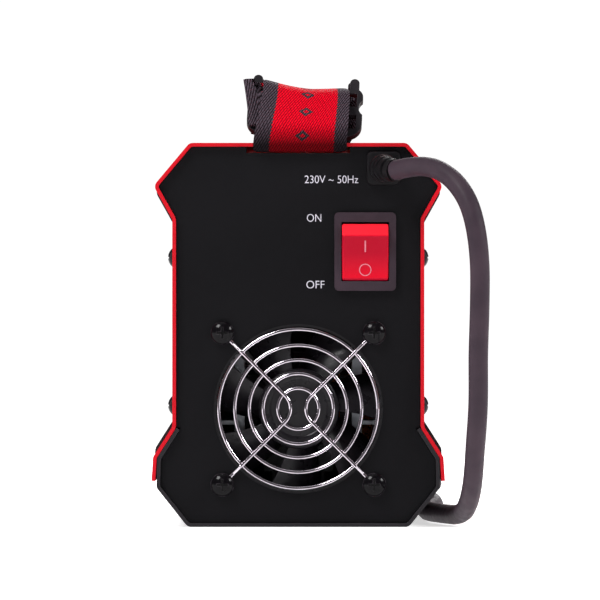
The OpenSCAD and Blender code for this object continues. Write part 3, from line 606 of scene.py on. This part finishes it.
def make_mains_lead():
    """The whole lead as one curve: free stretch, coil and end stretch."""
    lead = smooth([mm(*point) for point in LEAD_ROUTE], 6)
    tail = smooth([mm(*point) for point in TAIL_ROUTE], 6)
    route = lead[:-1] + coil_turns() + tail
    curve = bpy.data.curves.new("mains_lead", "CURVE")
    curve.dimensions = "3D"
    curve.bevel_depth = CORD_D / 2 * MM
    curve.bevel_resolution = 5
    curve.use_fill_caps = True
    spline = curve.splines.new("POLY")
    spline.points.add(len(route) - 1)
    for point, place in zip(spline.points, route):
        point.co = (*place, 1)
    spline.use_smooth = True
    obj = link(bpy.data.objects.new("mains_lead", curve))
    dressed(obj, "lead_rubber")
    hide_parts("power_cord", "cord_coil", "plug_lead")
    return obj


BOOT_BEND = 20.0
BOOT_TURN = 40.0
BOOT_LEAD = 6.0
BOOT_INSIDE = 8
BOOT_NECK_R = 5.4
BOOT_R = 6.5
BOOT_TAPER = 0.1
RIB_PITCH = 3.6
RIB_DEPTH = 0.95
FLANGE_HALF = 6.8
FLANGE_DEPTH = 3.0
RELIEF_X = 34.5
RELIEF_Z = 145.1


def boot_path(steps):
    """Middle line of the boot: straight out through the panel, then an arc towards +X."""
    panel = PANEL_Y / MM
    line = [mm(RELIEF_X, panel + BOOT_INSIDE - k * (BOOT_INSIDE + BOOT_LEAD) / 10, RELIEF_Z)
            for k in range(10)]
    for k in range(steps + 1):
        share = k / steps
        angle = math.radians(BOOT_TURN * share)
        line.append(mm(RELIEF_X + BOOT_BEND * (1 - math.cos(angle)),
                       panel - BOOT_LEAD - BOOT_BEND * math.sin(angle), RELIEF_Z - share))
    line.append(mm(*LEAD_ROUTE[0]))
    return line


def make_boot():
    """Ribbed, tapered bend protector."""
    path = boot_path(56)
    radii = []
    travelled = 0.0
    for index, point in enumerate(path):
        if index:
            travelled += (point - path[index - 1]).length / MM
        outside = travelled - BOOT_INSIDE
        if outside < 0:
            radii.append(BOOT_NECK_R * MM)
            continue
        beat = (outside % RIB_PITCH) / RIB_PITCH
        groove = RIB_DEPTH if 0.58 < beat < 0.92 else 0.0
        radii.append((BOOT_R - BOOT_TAPER * outside - groove) * MM)
    points, faces = swept(path, radii, 40)
    boot = piece("strain_relief_boot", points, faces, "relief_rubber")
    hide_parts("strain_relief")
    return boot


def rounded_rectangle(half_width, half_height, radius, steps=6):
    """Outline points of a rectangle with round corners."""
    made = []
    for quarter, (sx, sz) in enumerate(((1, 1), (-1, 1), (-1, -1), (1, -1))):
        for k in range(steps + 1):
            angle = math.radians(90 * (quarter + k / steps))
            made.append((sx * (half_width - radius) + radius * math.cos(angle),
                         sz * (half_height - radius) + radius * math.sin(angle)))
    return made


def make_relief_flange():
    """Square flange of the strain relief, with soft edges."""
    profile = [(0, 0.05), (0, FLANGE_DEPTH - 0.9), (0.25, FLANGE_DEPTH - 0.3),
               (0.8, FLANGE_DEPTH), (3.2, FLANGE_DEPTH)]
    rings = []
    for inset, out in profile:
        half = FLANGE_HALF - inset
        outline = rounded_rectangle(half, half, 2.1 - inset * 0.3)
        rings.append([mm(RELIEF_X + x, PANEL_Y / MM - out, RELIEF_Z + z) for x, z in outline])
    points, faces = loft(rings)
    return piece("strain_relief_flange", points, faces, "relief_rubber")


lead = make_mains_lead()
boot = make_boot()
flange = make_relief_flange()


# ---------------------------------------------------------------- carried-over nodes

# Nodes on the case whose edges are rounded, with the rounding's width in millimetres.
REFINED = {
    "hood": 0.25, "base_tray": 0.25, "front_bezel": 0.7,
    "switch_housing": 0.35, "plug_body": 0.7, "strap_buckle_rear": 0.8, "strap_buckle_front": 0.8,
    "socket_shells": 0.5, "display_window": 0.35, "fan_frame": 0.3,
}

for node_name, node_object in nodes.items():
    node_object.data.materials.clear()
    node_object.data.materials.append(finishes[SLOTS[node_name]])
    soften(node_object.data, CAD_SHARP)

pieces = {node_name: refined(node_name, width) for node_name, width in REFINED.items()}
refined("current_knob", 0.4, body="knob")
refined("switch_rocker", 0.9, 4, "rocker", clamp=False)


# ---------------------------------------------------------------- fan rotor

BLADES = 7
BLADE_START = 0.32
HUB_R = 16.25
HUB_SIDES = 96
TIP_R = 32.4
RADIAL = 9
CHORDWISE = 11
ROTOR_LOW, ROTOR_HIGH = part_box("fan_rotor")
ROTOR_AT = (ROTOR_LOW + ROTOR_HIGH) / 2


def on_rotor(radius, angle, y):
    """Point at a radius and an angle about the fan's axis; radius in millimetres, y in metres."""
    x = ROTOR_AT.x + radius * MM * math.cos(angle)
    z = ROTOR_AT.z + radius * MM * math.sin(angle)
    return Vector((x, y, z))


def hub_skin():
    """Points and faces of the hub, a cup with a shallow ring round its closed end."""
    front = ROTOR_LOW.y / MM
    back = ROTOR_HIGH.y / MM
    profile = [(0.01, front + 0.5), (11.2, front + 0.5), (11.6, front + 0.15), (12.6, front + 0.05),
               (14.6, front + 0.05), (15.5, front + 0.3), (16.05, front + 0.8), (HUB_R, front + 1.5),
               (HUB_R, back - 1), (HUB_R - 1.6, back - 1), (HUB_R - 1.6, front + 2.5), (0.01, front + 2.5)]
    rings = [[on_rotor(radius, math.tau * k / HUB_SIDES, y * MM) for k in range(HUB_SIDES)]
             for radius, y in profile]
    return loft(rings, ends=False)


def blade_points(start, side):
    """Grid of points on one side of a cambered, twisted blade, from the hub out to the tip."""
    halfway = (ROTOR_LOW.y / MM + ROTOR_HIGH.y / MM) / 2
    made = []
    for i in range(RADIAL):
        share = i / (RADIAL - 1)
        radius = HUB_R - 0.6 + share * (TIP_R - HUB_R + 0.6)
        pitch = math.radians(52 - 16 * share)
        chord = 19.0 + 4.5 * share
        sweep = -0.16 * share
        for j in range(CHORDWISE):
            t = j / (CHORDWISE - 1) - 0.5
            camber = 1.6 * (1 - 4 * t * t)
            thick = side * (0.25 + 0.55 * math.sqrt(max(0.0, 1 - 4 * t * t)))
            run = t * chord * math.cos(pitch) + (camber + thick) * math.sin(pitch)
            depth = t * chord * math.sin(pitch) - (camber + thick) * math.cos(pitch)
            y = max(ROTOR_LOW.y, min(ROTOR_HIGH.y, (halfway + 0.2 + depth) * MM))
            made.append(on_rotor(radius, start + sweep + run / radius, y))
    return made


def blade_faces(lower):
    """Faces of a blade whose two grids of points follow each other from index lower."""
    upper = lower + RADIAL * CHORDWISE
    made = []
    for i in range(RADIAL - 1):
        for j in range(CHORDWISE - 1):
            a = lower + i * CHORDWISE + j
            b = upper + i * CHORDWISE + j
            made.append((a + CHORDWISE, a + CHORDWISE + 1, a + 1, a))
            made.append((b, b + 1, b + CHORDWISE + 1, b + CHORDWISE))
    for i in range(RADIAL - 1):
        for j in (0, CHORDWISE - 1):
            a = lower + i * CHORDWISE + j
            b = upper + i * CHORDWISE + j
            made.append((a, b, b + CHORDWISE, a + CHORDWISE))
    for i in (0, RADIAL - 1):
        for j in range(CHORDWISE - 1):
            a = lower + i * CHORDWISE + j
            b = upper + i * CHORDWISE + j
            made.append((a, a + 1, b + 1, b))
    return made


def make_rotor():
    """Cup-shaped hub with seven curved, twisted blades."""
    points, faces = hub_skin()
    for blade in range(BLADES):
        start = math.tau * blade / BLADES + BLADE_START
        faces += blade_faces(len(points))
        points += blade_points(start, -1) + blade_points(start, 1)
    rotor = piece("fan_rotor_blades", points, faces, "fan_plastic", "rotor")
    form = bmesh.new()
    form.from_mesh(rotor.data)
    bmesh.ops.remove_doubles(form, verts=form.verts, dist=0.002 * MM)
    bmesh.ops.recalc_face_normals(form, faces=form.faces)
    form.to_mesh(rotor.data)
    form.free()
    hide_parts("fan_rotor")


make_rotor()


# ---------------------------------------------------------------- carry strap

WEB_W = 38.0
WEB_T = 1.8
SLOT_Z = 153.0
ARCH_RISE = 23.0
# Side view of the strap's rear half, from behind the slider down through the slot and up to the arch.
STRAP_REAR = [
    (-109.4, 173.4), (-107.6, 173.3), (-106.1, 171.4), (-106.4, 168.7), (-108.4, 165.2), (-109.8, 161.8),
    (-110.0, 158.0), (-110.2, 154.6), (-112.4, 152.85), (-118.6, 152.8), (-121.3, 154.7), (-122.8, 158.4),
    (-123.4, 162.0), (-121.6, 166.0), (-118.4, 169.6), (-115.3, 172.5), (-112.6, 174.8), (-108.6, 176.1),
    (-103.0, 176.5), (-97.5, 176.7), (-76, 177.4), (-50, 178.1), (-24, 178.5),
]
STRAP_LINE = STRAP_REAR + [(0.0, 178.6)] + [(-y, z) for y, z in reversed(STRAP_REAR)]
FLAP_LINE = [(-117.1, 162.5), (-115.35, 165.7), (-113.4, 169.2), (-111.5, 172.6), (-110.4, 174.6)]
FLAP_RISE = Vector((0, 0.485, 0.875))
FLAP_SHIFT = -1.2
TAIL_SHIFT = 4.2
TAIL_LENGTH = 22


def strap_lean(z):
    """Share of the strap's lean at a height, 0 at the slots and 1 at the crest."""
    share = min(1.0, max(0.0, (z - SLOT_Z) / ARCH_RISE))
    return share * share * (3 - 2 * share)


def woven_ring(spot, normal, half, shift, lift, columns=34):
    """Closed cross-section of the webbing and the place of each of its points across the weave."""
    ring = []
    across = []
    for side in (1, -1):
        for k in range(columns + 1):
            t = (k / columns * 2 - 1) * side
            thick = WEB_T / 2 * math.sqrt(max(0.02, 1 - abs(t) ** 14))
            ring.append((spot + normal * (side * thick) + Vector((t * half + shift, 0, 0)) + lift(t)) * MM)
            across.append(t * WEB_W / 2)
    return ring, across


def measured(line):
    """Distance of each point of a line from its start."""
    made = [0.0]
    for index in range(1, len(line)):
        made.append(made[-1] + (line[index] - line[index - 1]).length)
    return made


def strap_rings(line, shapes):
    """Rings, weave coordinates and length along a line; shapes has half width, shift and lift."""
    travelled = measured(line)
    rings = []
    uv = []
    for index, (spot, (half, shift, lift)) in enumerate(zip(line, shapes)):
        along = (line[min(index + 1, len(line) - 1)] - line[max(index - 1, 0)]).normalized()
        ring, across = woven_ring(spot, Vector((0, -along.z, along.y)), half, shift, lift)
        rings.append(ring)
        uv += [(u * MM, (travelled[index] - travelled[-1] / 2) * MM) for u in across]
    return rings, uv, travelled[-1]


def strap_shape(spot, inwards):
    """The strap narrows and leans to one side where it arches, and behind the sliders it leans back."""
    height = strap_lean(spot.z)
    rear = min(1.0, max(0.0, 0.5 - spot.y / 200))
    half = WEB_W / 2 * (1 - 0.08 * height)
    shift = 0.65 + (1.45 + 1.3 * rear) * height
    tail = min(1.0, max(0.0, (TAIL_LENGTH - inwards) / 6))
    half += tail * (WEB_W / 2 - half)
    shift += tail * (TAIL_SHIFT - shift)

    def lift(t):
        side = (1 - tail) * (0.35 + 0.65 * rear) * height * 3.5 * max(0.0, 0.18 - t) ** 1.4
        return Vector((0, 0, side - 0.5 * height * (1 - t * t)))

    return half, shift, lift


def flap_shape(share):
    """The free end stands askew: its edge beside the horn reaches highest."""

    def lift(t):
        x = t * WEB_W / 2 + FLAP_SHIFT
        reach = 7.6 if x < -14.8 else max(0.0, 1.8 - 0.32 * max(0.0, x + 13))
        return FLAP_RISE * (reach * share * share) + Vector((-2.1 * share * share * (t < -0.7), 0, 0))

    return WEB_W / 2, FLAP_SHIFT, lift


def make_strap():
    """Woven strap through both slots, its free ends folded over the sliders' bars."""
    line = smooth([Vector((0, y, z)) for y, z in STRAP_LINE], 6)
    travelled = measured(line)
    shapes = [strap_shape(spot, min(run, travelled[-1] - run)) for spot, run in zip(line, travelled)]
    rings, uv, length = strap_rings(line, shapes)
    points, faces = loft(rings)
    flap = smooth([Vector((0, y, z)) for y, z in FLAP_LINE], 5)
    travelled = measured(flap)
    shapes = [flap_shape(run / travelled[-1]) for run in travelled]
    for side in (1, -1):
        rings, more, reach = strap_rings([Vector((0, p.y * side, p.z)) for p in flap], shapes)
        extra, skin = loft(rings)
        faces += [tuple(corner + len(points) for corner in face) for face in skin]
        points += extra
        uv += more
        length += reach
    strap = piece("strap_webbing_woven", points, faces, "webbing", uv=uv)
    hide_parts("strap_webbing")


make_strap()


# ---------------------------------------------------------------- coil tie

TIE_T = 0.9
TIE_CORNER_R = 5.5


def make_tie():
    """Soft hook-and-loop band round one side of the coil."""
    low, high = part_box("cord_tie")
    middle = (low + high) / 2
    half = (high - low) / 2
    outline = rounded_rectangle(half.x / MM - TIE_T / 2, half.z / MM - TIE_T / 2, TIE_CORNER_R, 8)
    edges = []
    for share in (-1, -0.94, 0.94, 1):
        edges.append((share * half.y, TIE_T * MM / 2 * (0.4 if abs(share) == 1 else 1)))
    layers = edges + [(y, -offset) for y, offset in reversed(edges)]
    rings = []
    for y, offset in layers:
        ring = []
        for x, z in outline:
            away = Vector((x, 0, z)).normalized()
            ring.append(middle + Vector((x * MM, y, z * MM)) + away * offset)
        rings.append(ring)
    points, faces = loft(rings + rings[:1], ends=False)
    total = len(layers) * len(outline)
    faces = [tuple(corner % total for corner in face) for face in faces]
    tie = piece("cord_tie_band", points[:total], faces, "tie_fabric")
    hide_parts("cord_tie")
    return tie


tie = make_tie()


# ---------------------------------------------------------------- labels and marks

LABEL_CAP = 3.1
LABEL_THINNING = -0.008
BAR_Z = 111.2
BAR_W = 0.6
BAR_H = 4.65
RING_Z = 104
RING_RADII = (2.1, 2.3, 2.5)


def make_label(name, text, left, base, width):
    """Printed capitals on the rear panel, from their left end, base line and width in millimetres."""
    curve = bpy.data.curves.new(name, "FONT")
    curve.body = text
    curve.offset = LABEL_THINNING
    obj = link(bpy.data.objects.new(name, curve))
    bpy.context.view_layer.update()
    low = [min(corner[axis] for corner in obj.bound_box) for axis in (0, 1)]
    high = [max(corner[axis] for corner in obj.bound_box) for axis in (0, 1)]
    up = LABEL_CAP * MM / (high[1] - low[1])
    wide = width * MM / (high[0] - low[0])
    curve.extrude = 0.02 * MM
    mesh = bpy.data.meshes.new_from_object(obj)
    bpy.data.objects.remove(obj)
    for vertex in mesh.vertices:
        x, z, out = vertex.co
        vertex.co = Vector(((x - low[0]) * wide + left * MM, PANEL_Y - 0.03 * MM - out,
                            (z - low[1]) * up + base * MM))
    dressed(link(bpy.data.objects.new(name, mesh)), SLOTS["rear_panel"], look="panel_ink")


make_label("label_rating", "230V ~ 50Hz", 2.6, 139.1, 21.7)
make_label("label_on", "ON", 3.5, 123.5, 5.8)
make_label("label_off", "OFF", 3.3, 96.5, 7.3)


def make_marks():
    """The bar and the ring on the rocker, laid on its curved face."""
    mesh = nodes["switch_rocker"].data
    form = bmesh.new()
    form.from_mesh(mesh)
    surface = BVHTree.FromBMesh(form)
    form.free()

    def laid(x, z, lift):
        spot, normal, _, _ = surface.ray_cast(mm(x, -160, z), Vector((0, 1, 0)))
        return spot + normal * lift * MM

    def patch(name, grid, wrap):
        rows = len(grid)
        count = len(grid[0])
        rings = []
        for lift in (0.035, -0.02):
            rings.append([[laid(x, z, lift) for x, z in row] for row in grid])
        points = [point for layer in rings for row in layer for point in row]
        faces = []
        for layer in (0, 1):
            base = layer * rows * count
            for i in range(rows if wrap else rows - 1):
                for j in range(count - 1):
                    a = base + i * count + j
                    b = base + (i + 1) % rows * count + j
                    quad = (a, a + 1, b + 1, b)
                    faces.append(quad if layer else quad[::-1])
        piece(name, points, faces, "switch_red", "rocker", look="rocker_ink")

    x = centre("switch_rocker").x / MM
    bar = [[(x - BAR_W / 2 + BAR_W * j / 2, BAR_Z + BAR_H * i / 14) for j in range(3)] for i in range(15)]
    patch("rocker_mark_bar", bar, False)
    ring = [[(x + r * math.cos(math.tau * i / 56), RING_Z + r * math.sin(math.tau * i / 56))
             for r in RING_RADII] for i in range(56)]
    patch("rocker_mark_ring", ring, True)


make_marks()
